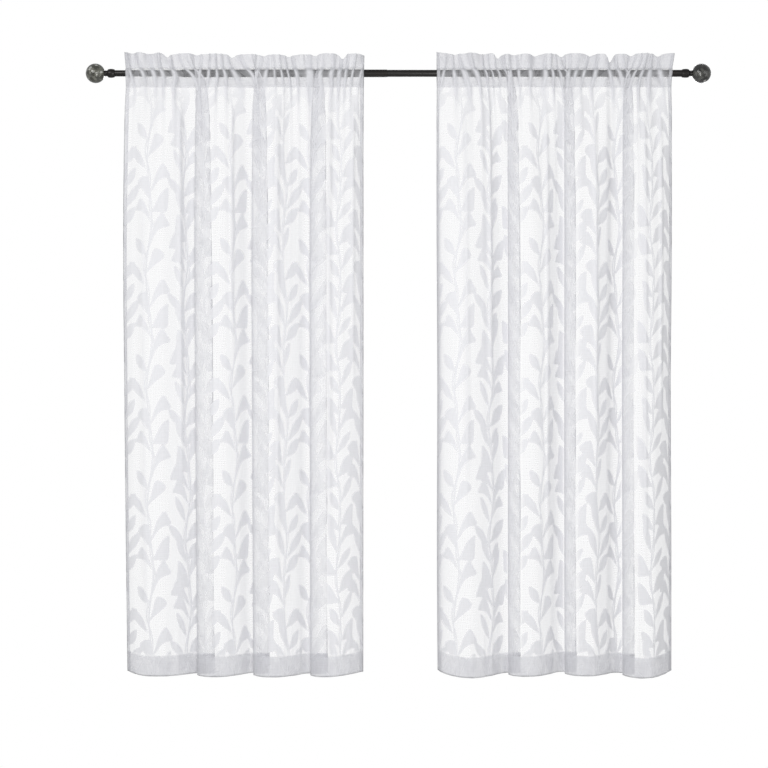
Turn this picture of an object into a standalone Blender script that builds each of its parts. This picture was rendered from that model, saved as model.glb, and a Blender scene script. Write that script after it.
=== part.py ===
"""Pair of sheer voile rod-pocket curtains, gathered on a telescoping rod with ball finials.

The origin is the middle of the rod's centre line. X runs along the rod, Z up, and the front of
the curtains faces -Y. Each panel is one sheet from its hem up the front of the rod to the top of
the heading. The cloth turned over there comes down behind the rod as a second sheet, and both
meet at a seam above the rod and a seam below it, which make the pocket.
"""

import math
from collections import namedtuple

import bmesh
import bpy
import numpy as np

NAME = "sheer_voile_curtain_pair"

# Rod and finials, metres.
ROD_HALF_LENGTH = 0.745
LEFT_TUBE_RADIUS = 0.0080
SLEEVE_RADIUS = 0.0097
RIGHT_TUBE_RADIUS = 0.0089
GAP = 0.0003
TUBE_WALL = SLEEVE_RADIUS - RIGHT_TUBE_RADIUS - GAP
SLEEVE_LEFT = -0.560
SLEEVE_RIGHT = -0.029
SLEEVE_TAPER = 0.0060
TUBE_OVERLAP = 0.120
BALL_RADIUS = 0.0248
BALL_CENTRE = 0.7790
NECK_RADIUS = 0.0078
COLLAR_RADIUS = 0.0114
COLLAR_MOUTH = 0.7290
COLLAR_SHOULDER = 0.7480
COLLAR_ROUND = 0.0022
COLLAR_TAPER = 0.0040
COLLAR_LIP = 0.0009
BALL_RINGS = 9
TURNED_STEPS = 20

# Cloth, metres. Heights are above the rod's centre line.
CLOTH = 0.0012
DOUBLED_CLOTH = 0.0024
HEADING_TOP = 0.0475
MIDDLE_OF_HEADING = 0.0300
SEAM_ABOVE_ROD = 0.0038
LOWER_SEAM = -0.0345
HEM_BOTTOM = -1.5475
HEM_DEPTH = 0.0510
SIDE_HEM = 0.0120
HEM_STEP = 0.0010
SEAM_STAND_OFF = 0.0011
GATHER_DEPTH = 0.0090
ROD_CLEARANCE = CLOTH / 2 + 2 * GAP
POCKET_STEP = 40.0
LIFT_STARTS = -1.20
COLUMNS = 72
COLUMNS_IN_TURNS = 0.40
CURVE_SAMPLES = 4000

# The folds' rounding in plan. Places are shares of the hung width and the rest are shares of a
# crest's or a valley's depth, or of the way from a crest to the valley after it.
CREST_HALF = 0.030
CREST_START = 0.93
CREST_END = 0.95
FALL_MIDDLE = 0.52
VALLEY_SHIFT = 0.012
VALLEY_START = 0.93
SIDE_RISE = 0.30

# One row of the cloth: how high it runs, how far its middle stands off the rod's centre plane, and
# how much of the gathers and of the long folds it has.
Row = namedtuple("Row", "height stand_off gathers folds")

# One gather of the heading: where its crest is across the hung width (0 to 1), how far the
# heading's top stands above its mean at the crest, and at the notch after it.
Gather = namedtuple("Gather", "at rise notch")

# One long fold, seen from above. Its rolled edge, its crest and the valley after it are places
# across the hung width (0 to 1). The cloth before the edge runs on behind it for the lap, and turns
# back. The crest stands forward of the panel's mean plane and the valley behind it.
Fold = namedtuple("Fold", "edge lap crest forward valley back")

# A point of the lap between a valley and the next crest: how far it is behind the rolled edge, as
# a share of the lap, and how far behind the mean plane, as a share of the valley's depth.
LapPoint = namedtuple("LapPoint", "behind back")
LAP_POINTS = [
    LapPoint(0.60, 1.00),
    LapPoint(1.00, 0.88),
    LapPoint(0.55, 0.74),
    LapPoint(0.06, 0.68),
    LapPoint(-0.04, 0.48),
]

# How much higher than its mean the hem's edge hangs, at places across the hung width.
Lift = namedtuple("Lift", "at rise")

# Where the panel's two edges run, at a height.
Edge = namedtuple("Edge", "height left right")

Panel = namedtuple("Panel", "side rod_radius edges gathers side_depth folds lifts")

LEFT = Panel(
    side="left",
    rod_radius=SLEEVE_RADIUS,
    edges=[
        Edge(HEADING_TOP, -0.7035, -0.0875),
        Edge(0.000, -0.7000, -0.0885),
        Edge(-0.100, -0.7035, -0.0895),
        Edge(-0.400, -0.7080, -0.0900),
        Edge(-0.800, -0.7055, -0.0900),
        Edge(-1.250, -0.7010, -0.0905),
        Edge(HEM_BOTTOM, -0.6975, -0.0905),
    ],
    gathers=[
        Gather(0.059, 0.0055, 0.0035),
        Gather(0.122, 0.0035, -0.0055),
        Gather(0.231, 0.0035, 0.0000),
        Gather(0.369, 0.0015, -0.0060),
        Gather(0.524, 0.0015, -0.0025),
        Gather(0.633, -0.0005, -0.0035),
        Gather(0.734, -0.0005, -0.0025),
        Gather(0.855, 0.0035, -0.0105),
        Gather(0.962, 0.0015, -0.0020),
    ],
    side_depth=-0.004,
    folds=[
        Fold(0.020, 0.000, 0.118, 0.029, 0.300, 0.032),
        Fold(0.300, 0.041, 0.375, 0.031, 0.535, 0.034),
        Fold(0.538, 0.039, 0.608, 0.032, 0.775, 0.034),
        Fold(0.780, 0.041, 0.850, 0.031, 1.000, 0.026),
    ],
    lifts=[
        Lift(0.000, 0.0110),
        Lift(0.060, 0.0030),
        Lift(0.140, 0.0010),
        Lift(0.500, 0.0000),
        Lift(0.860, 0.0000),
        Lift(1.000, 0.0050),
    ],
)

RIGHT = Panel(
    side="right",
    rod_radius=RIGHT_TUBE_RADIUS,
    edges=[
        Edge(HEADING_TOP, 0.0975, 0.7085),
        Edge(0.000, 0.0985, 0.7025),
        Edge(-0.100, 0.0985, 0.7040),
        Edge(-0.400, 0.0990, 0.7065),
        Edge(-0.800, 0.1010, 0.7045),
        Edge(-1.250, 0.1000, 0.7060),
        Edge(HEM_BOTTOM, 0.1015, 0.7060),
    ],
    gathers=[
        Gather(0.010, 0.0045, 0.0020),
        Gather(0.146, 0.0035, 0.0020),
        Gather(0.224, 0.0035, -0.0100),
        Gather(0.292, 0.0015, 0.0000),
        Gather(0.369, 0.0015, -0.0025),
        Gather(0.458, 0.0015, -0.0055),
        Gather(0.594, 0.0035, -0.0025),
        Gather(0.700, 0.0015, -0.0090),
        Gather(0.763, 0.0015, -0.0025),
        Gather(0.878, 0.0035, -0.0035),
        Gather(0.992, 0.0025, -0.0010),
    ],
    side_depth=-0.024,
    folds=[
        Fold(0.020, 0.000, 0.105, 0.035, 0.300, 0.038),
        Fold(0.305, 0.032, 0.378, 0.034, 0.535, 0.036),
        Fold(0.545, 0.030, 0.620, 0.035, 0.770, 0.038),
        Fold(0.792, 0.032, 0.872, 0.037, 1.000, 0.024),
    ],
    lifts=[
        Lift(0.000, 0.0100),
        Lift(0.050, 0.0035),
        Lift(0.120, -0.0020),
        Lift(0.350, 0.0010),
        Lift(0.690, 0.0020),
        Lift(0.890, -0.0020),
        Lift(0.955, 0.0020),
        Lift(1.000, 0.0085),
    ],
)


def pocket_rows(panel):
    """The rows from the heading's top to the pocket's lower seam, with three lying on the rod."""
    reach = (panel.rod_radius + ROD_CLEARANCE) / math.cos(math.radians(POCKET_STEP / 2))

    def on_rod(degrees, gathers):
        angle = math.radians(degrees)
        stand_off = reach * math.cos(angle) + gathers * GATHER_DEPTH
        return Row(reach * math.sin(angle), stand_off, gathers, 0.0)

    return [
        Row(HEADING_TOP, SEAM_STAND_OFF, 1.00, 0.0),
        Row(MIDDLE_OF_HEADING, SEAM_STAND_OFF, 0.75, 0.0),
        Row(panel.rod_radius + SEAM_ABOVE_ROD, SEAM_STAND_OFF, 0.35, 0.0),
        on_rod(POCKET_STEP, 0.40),
        on_rod(0.0, 0.50),
        on_rod(-POCKET_STEP, 0.55),
        Row(LOWER_SEAM, SEAM_STAND_OFF, 0.70, 0.0),
    ]


HANGING_ROWS = [
    Row(-0.085, 0.0, 0.60, 0.34),
    Row(-0.200, 0.0, 0.40, 0.64),
    Row(-0.350, 0.0, 0.22, 0.84),
    Row(-0.600, 0.0, 0.08, 0.95),
    Row(-1.000, 0.0, 0.00, 1.00),
    Row(HEM_BOTTOM + HEM_DEPTH + HEM_STEP, 0.0, 0.0, 1.0),
    Row(HEM_BOTTOM + HEM_DEPTH, 0.0, 0.0, 1.0),
    Row(HEM_BOTTOM, 0.0, 0.0, 1.0),
]


def material(name, color, roughness, metallic=0.0, alpha=1.0):
    made = bpy.data.materials.new(name)
    made.use_nodes = True
    shader = made.node_tree.nodes["Principled BSDF"]
    shader.inputs["Base Color"].default_value = (*color, 1.0)
    shader.inputs["Roughness"].default_value = roughness
    shader.inputs["Metallic"].default_value = metallic
    shader.inputs["Alpha"].default_value = alpha
    made.diffuse_color = (*color, alpha)
    return made


def smooth_step(value):
    value = np.clip(value, 0.0, 1.0)
    return value * value * (3.0 - 2.0 * value)


def gather_wave(panel, across):
    """+1 at the crests of the heading's gathers and -1 halfway between them."""
    crests = [gather.at for gather in panel.gathers]
    counts = list(range(len(crests)))
    first = crests[0] - (crests[1] - crests[0])
    last = crests[-1] + (crests[-1] - crests[-2])
    turns = np.interp(across, [first, *crests, last], [-1, *counts, len(crests)])
    return np.cos(2.0 * math.pi * turns)


def smooth_curve(at, places, values):
    """A smooth curve through values at places (cubic Hermite)."""
    slopes = np.gradient(values, places)
    after = np.clip(np.searchsorted(places, at, side="right"), 1, len(places) - 1)
    before = after - 1
    span = places[after] - places[before]
    share = (at - places[before]) / span
    rest = 1.0 - share
    curve = values[before] * (1.0 + 2.0 * share) * rest**2
    curve += values[after] * share**2 * (3.0 - 2.0 * share)
    curve += slopes[before] * span * share * rest**2
    curve -= slopes[after] * span * share**2 * rest
    return curve


def fold_knots(panel, width):
    """Points that the folds pass through in plan: place across, and distance forward."""
    knots = [(0.0, panel.side_depth)]
    for fold, before in zip(panel.folds, [None, *panel.folds[:-1]]):
        if before is None:
            knots.append((fold.edge, SIDE_RISE * fold.forward))
        else:
            for point in LAP_POINTS:
                place = fold.edge + point.behind * fold.lap / width
                knots.append((place, -point.back * before.back))
        knots.append((fold.crest - CREST_HALF, CREST_START * fold.forward))
        knots.append((fold.crest + CREST_HALF, CREST_END * fold.forward))
        falls_from = fold.crest + CREST_HALF
        if fold is panel.folds[-1]:
            knots.append(((falls_from + fold.valley) / 2, SIDE_RISE * fold.forward))
            knots.append((fold.valley, -fold.back))
        else:
            knots.append((falls_from + FALL_MIDDLE * (fold.valley - falls_from), 0.0))
            knots.append((fold.valley - VALLEY_SHIFT, -VALLEY_START * fold.back))
    return np.array(knots)


def full_folds(panel):
    """The folds at full depth, evenly along the cloth: place across, and distance forward."""
    left, right = edges_at(panel, HEM_BOTTOM)
    width = right - left
    knots = fold_knots(panel, width)
    steps = np.hypot(np.diff(knots[:, 0]) * width, np.diff(knots[:, 1]))
    chord = np.concatenate([[0.0], np.cumsum(steps)])
    along = np.linspace(0.0, chord[-1], CURVE_SAMPLES)
    place = smooth_curve(along, chord, knots[:, 0])
    forward = smooth_curve(along, chord, knots[:, 1])
    run = cloth_run(place * width, forward)
    even = np.linspace(0.0, run[-1], CURVE_SAMPLES)
    return np.interp(even, run, place), np.interp(even, run, forward)


def cloth_run(x, forward):
    return np.concatenate([[0.0], np.cumsum(np.hypot(np.diff(x), np.diff(forward)))])


def heading_rise(panel, across):
    """How far the heading's top edge is above its mean, crest by crest."""
    places = []
    rises = []
    crests = [gather.at for gather in panel.gathers]
    for gather, following in zip(panel.gathers, [*crests[1:], 1.05]):
        places += [gather.at, (gather.at + following) / 2]
        rises += [gather.rise, gather.notch]
    return np.interp(across, places, rises)


def hem_rise(panel, across):
    return np.interp(across, [lift.at for lift in panel.lifts], [lift.rise for lift in panel.lifts])


def edges_at(panel, height):
    heights = [-edge.height for edge in panel.edges]
    left = float(np.interp(-height, heights, [edge.left for edge in panel.edges]))
    right = float(np.interp(-height, heights, [edge.right for edge in panel.edges]))
    return left, right


def row_curve(panel, row):
    """The plan of one row: place across, x, distance forward, and the run of cloth to there."""
    share = np.linspace(0.0, 1.0, CURVE_SAMPLES)
    fold_place, fold_forward = full_folds(panel)
    left, right = edges_at(panel, row.height)
    place = share + row.folds * (fold_place - share)
    x = left + place * (right - left)
    forward = row.folds * fold_forward
    forward += row.gathers * GATHER_DEPTH * gather_wave(panel, share)
    return place, x, forward, cloth_run(x, forward)


def row_points(panel, row, back, shares):
    """The points of one row, spaced along the cloth as it runs over its folds."""
    place, x, forward, run = row_curve(panel, row)
    wanted = shares * run[-1]
    side = 1.0 if back else -1.0
    y = side * row.stand_off - np.interp(wanted, run, forward)
    at = np.interp(wanted, run, place)
    above_rod = (row.height - panel.rod_radius) / (HEADING_TOP - panel.rod_radius)
    heading_share = smooth_step(above_rod)
    hem_share = smooth_step((LIFT_STARTS - row.height) / (LIFT_STARTS - HEM_BOTTOM))
    z = row.height + heading_share * heading_rise(panel, at) + hem_share * hem_rise(panel, at)
    return np.column_stack([np.interp(wanted, run, x), y, z])


def column_shares(panel):
    """Places along the flat cloth, closer together where the folds turn and at the side hems."""
    _, x, forward, run = row_curve(panel, HANGING_ROWS[-1])
    heading = np.unwrap(np.arctan2(np.gradient(forward), np.gradient(x)))
    turned = np.concatenate([[0.0], np.cumsum(np.abs(np.diff(heading)))])
    cost = (1.0 - COLUMNS_IN_TURNS) * run / run[-1] + COLUMNS_IN_TURNS * turned / turned[-1]
    hem = SIDE_HEM / run[-1]
    step = HEM_STEP / run[-1]
    first = np.interp(hem + step, run / run[-1], cost)
    last = np.interp(1.0 - hem - step, run / run[-1], cost)
    inner = np.interp(np.linspace(first, last, COLUMNS), cost, run / run[-1])
    return np.concatenate([[0.0, hem], inner, [1.0 - hem, 1.0]])


def cloth_sheet(name, panel, rows, back, cloth_material, parts):
    """A grid shaped into the hung cloth, then thickened, twice as thick in the hems."""
    shares = column_shares(panel)
    grid = bmesh.new()
    bmesh.ops.create_grid(grid, x_segments=len(shares) - 1, y_segments=len(rows) - 1, size=1.0)
    mesh = bpy.data.meshes.new(name)
    grid.verts.ensure_lookup_table()
    places = []
    points = [row_points(panel, row, back, shares) for row in rows]
    for vert in grid.verts:
        column = round((vert.co.x + 1.0) / 2.0 * (len(shares) - 1))
        line = round((1.0 - vert.co.y) / 2.0 * (len(rows) - 1))
        places.append((line, column))
        vert.co = points[line][column]
    grid.to_mesh(mesh)
    grid.free()
    sheet = bpy.data.objects.new(name, mesh)
    parts.objects.link(sheet)
    mesh.materials.append(cloth_material)
    mesh.shade_smooth()

    doubled = sheet.vertex_groups.new(name="doubled cloth")
    last_column = len(shares) - 1
    for index, (line, column) in enumerate(places):
        below_pocket = rows[line].height < LOWER_SEAM
        in_hem = rows[line].height < HEM_BOTTOM + HEM_DEPTH + HEM_STEP / 2
        in_side_hem = column <= 1 or column >= last_column - 1
        weight = 1.0 if in_hem or (below_pocket and in_side_hem) else 0.0
        doubled.add([index], weight, "REPLACE")
    shell = sheet.modifiers.new("cloth thickness", "SOLIDIFY")
    shell.thickness = DOUBLED_CLOTH
    shell.offset = 0.0
    shell.use_even_offset = True
    shell.vertex_group = doubled.name
    shell.thickness_vertex_group = CLOTH / DOUBLED_CLOTH
    return sheet


def turned(name, profile, closed, centre, towards, metal, parts):
    """A profile of (radius, place along X) points, turned about the rod's centre line."""
    mesh = bpy.data.meshes.new(name)
    points = [(radius, 0.0, along) for radius, along in profile]
    edges = [(index, index + 1) for index in range(len(points) - 1)]
    if closed:
        edges.append((len(points) - 1, 0))
    mesh.from_pydata(points, edges, [])
    piece = bpy.data.objects.new(name, mesh)
    parts.objects.link(piece)
    mesh.materials.append(metal)
    lathe = piece.modifiers.new("turned", "SCREW")
    lathe.steps = TURNED_STEPS
    lathe.render_steps = TURNED_STEPS
    lathe.use_merge_vertices = True
    lathe.merge_threshold = 0.00001
    lathe.use_smooth_shade = True
    piece.location = (centre, 0.0, 0.0)
    piece.rotation_euler = (0.0, towards * math.pi / 2, 0.0)
    return piece


def tube(name, left, right, radius, metal, parts):
    half = (right - left) / 2
    bore = radius - TUBE_WALL
    profile = [(radius, half), (radius, -half), (bore, -half), (bore, half)]
    turned(name, profile, True, (left + right) / 2, 1.0, metal, parts)


def build_rod(metal, parts):
    """A sleeve and two tubes inside it, its left end drawn in to the thinner one."""
    overlap_left = SLEEVE_LEFT + TUBE_OVERLAP
    overlap_right = SLEEVE_RIGHT - TUBE_OVERLAP
    tube("rod_tube_left", -ROD_HALF_LENGTH, overlap_left, LEFT_TUBE_RADIUS, metal, parts)
    tube("rod_tube_right", overlap_right, ROD_HALF_LENGTH, RIGHT_TUBE_RADIUS, metal, parts)

    half = (SLEEVE_RIGHT - SLEEVE_LEFT) / 2
    drawn = LEFT_TUBE_RADIUS + GAP
    bore = SLEEVE_RADIUS - TUBE_WALL
    profile = [
        (SLEEVE_RADIUS, half),
        (SLEEVE_RADIUS, SLEEVE_TAPER - half),
        (drawn + TUBE_WALL, -half),
        (drawn, -half),
        (bore, SLEEVE_TAPER - half),
        (bore, half),
    ]
    turned("rod_sleeve", profile, True, (SLEEVE_LEFT + SLEEVE_RIGHT) / 2, 1.0, metal, parts)


def build_finial(side, towards, bore, metal, glass, parts):
    """A turned collar pushed over the rod's end, with a crackled ball on its neck."""
    ball_flat = math.sqrt(BALL_RADIUS ** 2 - NECK_RADIUS ** 2)
    neck_end = BALL_CENTRE - ball_flat - GAP
    socket = ROD_HALF_LENGTH + GAP
    profile = [
        (0.0, neck_end),
        (NECK_RADIUS, neck_end),
        (NECK_RADIUS, COLLAR_SHOULDER),
        (COLLAR_RADIUS - COLLAR_ROUND / 2, COLLAR_SHOULDER),
        (COLLAR_RADIUS, COLLAR_SHOULDER - COLLAR_ROUND),
        (COLLAR_RADIUS, COLLAR_MOUTH + COLLAR_TAPER),
        (bore + COLLAR_LIP, COLLAR_MOUTH),
        (bore, COLLAR_MOUTH),
        (bore, socket),
        (0.0, socket),
    ]
    turned(f"collar_{side}", profile, False, 0.0, towards, metal, parts)

    flat_angle = math.pi - math.asin(NECK_RADIUS / BALL_RADIUS)
    ball = [(0.0, BALL_RADIUS)]
    for ring in range(1, BALL_RINGS):
        angle = flat_angle * ring / (BALL_RINGS - 1)
        ball.append((BALL_RADIUS * math.sin(angle), BALL_RADIUS * math.cos(angle)))
    ball.append((0.0, -ball_flat))
    turned(f"ball_{side}", ball, False, towards * BALL_CENTRE, towards, glass, parts)


def build():
    for old in list(bpy.data.objects):
        bpy.data.objects.remove(old, do_unlink=True)
    parts = bpy.data.collections.new(NAME)
    bpy.context.scene.collection.children.link(parts)

    bronze = material("dark bronze", (0.030, 0.024, 0.022), 0.42, metallic=0.85)
    glass = material("crackled glass", (0.150, 0.150, 0.120), 0.16, metallic=0.25)
    voile = material("white voile", (0.880, 0.880, 0.900), 0.80, alpha=0.60)

    build_rod(bronze, parts)
    build_finial("left", -1.0, LEFT_TUBE_RADIUS + GAP, bronze, glass, parts)
    build_finial("right", 1.0, RIGHT_TUBE_RADIUS + GAP, bronze, glass, parts)
    for panel in (LEFT, RIGHT):
        pocket = pocket_rows(panel)
        cloth_sheet(f"curtain_{panel.side}", panel, pocket + HANGING_ROWS, False, voile, parts)
        cloth_sheet(f"heading_{panel.side}", panel, pocket, True, voile, parts)


build()
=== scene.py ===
"""Looks of a pair of sheer voile rod-pocket curtains, gathered on a telescoping rod.

Each panel is one sheet laid out in flat cloth coordinates: metres across from its left side, and
metres down from the fold at the heading's top. The sheet is gathered and folded in plan, row by
row. Side hems and the bottom hem are the same cloth turned back behind itself. The woven vine of
stems and leaves lies in the flat coordinates, so it bends and narrows with the folds.
"""

import functools
import math
from collections import namedtuple

import bmesh
import bpy
import numpy as np
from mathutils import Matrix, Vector


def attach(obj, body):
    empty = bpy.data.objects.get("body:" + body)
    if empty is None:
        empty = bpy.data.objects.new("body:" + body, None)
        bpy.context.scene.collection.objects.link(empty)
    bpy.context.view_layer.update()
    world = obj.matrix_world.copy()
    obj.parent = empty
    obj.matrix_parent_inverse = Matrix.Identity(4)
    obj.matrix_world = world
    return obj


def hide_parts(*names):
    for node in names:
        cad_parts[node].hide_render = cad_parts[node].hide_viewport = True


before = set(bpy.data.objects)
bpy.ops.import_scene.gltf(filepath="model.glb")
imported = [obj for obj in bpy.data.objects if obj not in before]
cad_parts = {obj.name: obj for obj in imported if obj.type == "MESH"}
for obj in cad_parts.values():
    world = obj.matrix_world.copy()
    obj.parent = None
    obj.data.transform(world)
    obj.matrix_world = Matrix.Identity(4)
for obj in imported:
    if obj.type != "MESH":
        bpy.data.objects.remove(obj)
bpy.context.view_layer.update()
BODY = "root"

# Rod and finials, lengths in metres. X runs along the rod, from its middle.
ROD_HALF_LENGTH = 0.745
LEFT_TUBE_RADIUS = 0.0080
SLEEVE_RADIUS = 0.0097
RIGHT_TUBE_RADIUS = 0.0089
GAP = 0.0003
TUBE_WALL = SLEEVE_RADIUS - RIGHT_TUBE_RADIUS - GAP
TUBE_OVERLAP = 0.120
SLEEVE_LEFT = -0.560
SLEEVE_RIGHT = -0.029
SLEEVE_TAPER = 0.0060
BALL_RADIUS = 0.0248
BALL_CENTRE = 0.7790
NECK_RADIUS = 0.0078
BALL_FLAT = BALL_CENTRE - math.sqrt(BALL_RADIUS**2 - NECK_RADIUS**2)
COLLAR_RADIUS = 0.0114
COLLAR_MOUTH = 0.7290
COLLAR_SHOULDER = 0.7480
COLLAR_LIP = 0.0009
COLLAR_WAIST = 0.0007
COLLAR_SWELL_START = 0.06
COLLAR_FULLNESS = 0.55
NECK_STEPS = 8
SWELL_STEPS = 12
TURNED_STEPS = 72
MERGE_WITHIN = 0.00001
EASED_EDGE = 0.0003
SHARP_FROM = math.radians(40)
BALL_SUBDIVISIONS = 6
GLASS_CELLS = 150
CRACK_WIDTH = 0.055
CRACK_DEPTH = 0.00035
CELL_SHIFTS = (0.06, 0.10)

# One end of the rod: its way along X, its tube's radius and where that ends inside the sleeve, and
# the seed of the ball's cells.
End = namedtuple("End", "side towards radius inner seed")
ENDS = [
    End("left", -1.0, LEFT_TUBE_RADIUS, SLEEVE_LEFT + TUBE_OVERLAP, 11),
    End("right", 1.0, RIGHT_TUBE_RADIUS, SLEEVE_RIGHT - TUBE_OVERLAP, 23),
]

# Cloth: lengths in metres, heights above the rod's centre line, and the rest shares or counts.
CLOTH_WIDTH = 1.067
HEADING_TOP = 0.0475
LOWER_SEAM = -0.0345
SEAM_ABOVE_ROD = 0.0038
SEAM_STAND_OFF = 0.0009
STAND_OFF_FADE = 0.020
TOP_ROUNDING = 0.003
ROD_CLEARANCE = 0.0010
HEM_BOTTOM = -1.5475
HEM_DEPTH = 0.0510
HEM_TOP = HEM_BOTTOM + HEM_DEPTH
SIDE_HEM = 0.0120
HEM_LAYER = 0.0009
BOTTOM_HEM_LAYER = 1.4 * HEM_LAYER
HEM_TURN = 0.0015
HEM_TURN_ROWS = 1.5
GATHER_DEPTH = 0.0105
LIFT_STARTS = -1.20
CURVE_SAMPLES = 4000
LAYER_STEP = 0.0015
LAPS_START = 1.2
LAPS_SPREAD = 1.6
LAP_FADE = 0.70
LAP_THINNING = 0.14
LAP_CALM = 0.45
HEM_DENSITY = 0.40
HEADING_DENSITY = 0.58
NOT_DOUBLED = -1.0
HEM_MOTIF = 0.45
SEAM_DENSITY = 0.80
SEAM_HALF_WIDTH = 0.0016
NOTCH_WIDTH = 0.013
PAST_SIDE = 1.05
OPENNESS = 0.55
STEEPEST = 0.10
RIDGE_SHARPNESS = 2.8
RIDGE_LEAN_HEIGHT = 0.040
RIDGE_DENSITY = 2.30
RIDGE_HEIGHT = 0.0085
CREASE_DENSITY = 0.55
CREASE_HEIGHT = 0.0080
CREASE_LINE = 0.45
CREASE_FADE_IN = 0.10
CREASE_FADE_OUT = 0.30
COLUMN_STEP = 0.0042
ROW_STEP = 0.0053
POCKET_ROW_STEP = 0.0024
CLOSE_ROWS_PAST_SEAM = 0.030
SIDE_HEM_COLUMNS = 3

# The long folds' rounding in plan. Places are shares of the hung width and the rest are shares of
# a crest's or a valley's depth, or of the way from a crest to the valley after it.
CREST_HALF = 0.030
CREST_START = 0.93
CREST_END = 0.95
FALL_MIDDLE = 0.52
VALLEY_SHIFT = 0.012
VALLEY_START = 0.93
SIDE_RISE = 0.30

# Woven vine: metres of flat cloth, with its sways in stem pitches and their starts in radians.
REPEAT_WIDTH = CLOTH_WIDTH / 3
REPEAT_HEIGHT = 0.297
STEM_PITCH = REPEAT_WIDTH / 4
STEM_WIDTH = 0.0015
TWIN_WIDTH = 0.0012
EDGE_SOFTNESS = 0.0009
STEM_UNEVEN = 0.12
STEM_SWAY = 0.075
TWIN_SWAY = 0.062
STEM_START = 0.6
TWIN_START = 1.1
STEM_CORRECTIONS = 12

# What the cloth does at a height: its share of the gathers, how high the puckers stand, how far it
# is laid over across and in depth as in the full folds, and how clearly the vine shows.
Level = namedtuple("Level", "height gathers puckers laid folds motif")
LEVELS = [
    Level(HEADING_TOP, 1.00, 0.0065, 0.25, 0.00, 0.40),
    Level(0.0300, 0.80, 0.0085, 0.30, 0.00, 0.30),
    Level(0.0135, 0.35, 0.0088, 0.40, 0.04, 0.15),
    Level(0.0000, 0.30, 0.0088, 0.60, 0.07, 0.15),
    Level(LOWER_SEAM, 0.40, 0.0082, 0.78, 0.10, 0.40),
    Level(-0.085, 0.45, 0.0046, 0.88, 0.32, 0.75),
    Level(-0.200, 0.35, 0.0027, 0.94, 0.64, 1.00),
    Level(-0.350, 0.22, 0.0017, 0.98, 0.84, 1.00),
    Level(-0.600, 0.08, 0.0011, 1.00, 0.95, 1.00),
    Level(-1.000, 0.00, 0.0005, 1.00, 1.00, 1.00),
    Level(-1.400, 0.00, 0.0008, 1.00, 1.00, 1.00),
    Level(HEM_TOP, 0.00, 0.0024, 1.00, 1.00, 1.00),
    Level(HEM_BOTTOM, 0.00, 0.0012, 1.00, 1.00, 1.00),
]

# One gather of the heading: where its crest is across the hung width (0 to 1), and how far the
# heading's top stands above its mean at the crest and at the notch after it.
Gather = namedtuple("Gather", "at rise notch")

# One long fold, seen from above. Its rolled edge, its crest and the valley after it are places
# across the hung width (0 to 1). The cloth before the edge runs on behind it for the lap, and turns
# back. The crest stands forward of the panel's mean plane and the valley behind it.
Fold = namedtuple("Fold", "edge lap crest forward valley back")

# The points of the lap between a valley and the next crest: how far each is behind the rolled
# edge, as a share of the lap, and how far behind the mean plane, as a share of the valley's depth.
LAP_POINTS = [(0.60, 1.00), (1.00, 0.88), (0.55, 0.74), (0.06, 0.68), (-0.04, 0.48)]

# An uneven sway along the cloth: its size, its turns across the cloth, and how many times the
# panel's own phase it starts at.
Sway = namedtuple("Sway", "size turns phases")
PITCH_SWAYS = [Sway(0.40, 3.1, 1.0), Sway(0.22, 7.3, 4.0)]
LEAN_SWAY = Sway(0.32, 4.7, 2.0)
SHARPNESS_SWAY = Sway(0.55, 6.1, 3.0)
RIDGE_SWAY = Sway(0.28, 5.3, 7.0)

# One soft crease: a ridge that stands forward at a place across the cloth (0 to 1). It is drawn
# over a width, and runs from one height to another where it fades.
Crease = namedtuple("Crease", "at rise width top bottom")

# Where the panel's two sides run, at a height.
Edge = namedtuple("Edge", "height left right")

# A panel's lifts: places across it, and how far above its mean the hem's edge hangs there.
Panel = namedtuple("Panel", "side rod_radius puckers phase edges gathers side_depth folds creases lifts")

LEFT = Panel(
    side="left",
    rod_radius=SLEEVE_RADIUS,
    puckers=32,
    phase=0.4,
    edges=(
        Edge(HEADING_TOP, -0.7035, -0.0875),
        Edge(0.000, -0.7000, -0.0885),
        Edge(-0.100, -0.7035, -0.0895),
        Edge(-0.400, -0.7080, -0.0900),
        Edge(-0.800, -0.7055, -0.0900),
        Edge(-1.250, -0.7010, -0.0905),
        Edge(HEM_BOTTOM, -0.6975, -0.0905),
    ),
    gathers=(
        Gather(0.059, 0.0055, 0.0035),
        Gather(0.122, 0.0035, -0.0055),
        Gather(0.231, 0.0035, 0.0000),
        Gather(0.369, 0.0015, -0.0060),
        Gather(0.524, 0.0015, -0.0025),
        Gather(0.633, -0.0005, -0.0035),
        Gather(0.734, -0.0005, -0.0025),
        Gather(0.855, 0.0035, -0.0105),
        Gather(0.962, 0.0015, -0.0020),
    ),
    side_depth=-0.004,
    folds=(
        Fold(0.020, 0.000, 0.118, 0.029, 0.300, 0.032),
        Fold(0.300, 0.041, 0.375, 0.031, 0.535, 0.034),
        Fold(0.538, 0.039, 0.608, 0.032, 0.775, 0.034),
        Fold(0.780, 0.041, 0.850, 0.031, 1.000, 0.026),
    ),
    creases=(
        Crease(0.155, 0.0090, 0.0051, -0.05, -1.10),
        Crease(0.060, 0.0054, 0.0068, -0.30, -1.54),
        Crease(0.405, 0.0072, 0.0043, -0.05, -0.80),
        Crease(0.640, 0.0081, 0.0051, -0.05, -1.40),
        Crease(0.900, 0.0081, 0.0051, -0.05, -1.30),
        Crease(0.965, 0.0054, 0.0043, -0.05, -0.90),
    ),
    lifts=(
        (0.000, 0.0110), (0.060, 0.0030), (0.140, 0.0010), (0.500, 0.0000), (0.860, 0.0000),
        (1.000, 0.0050),
    ),
)

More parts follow.
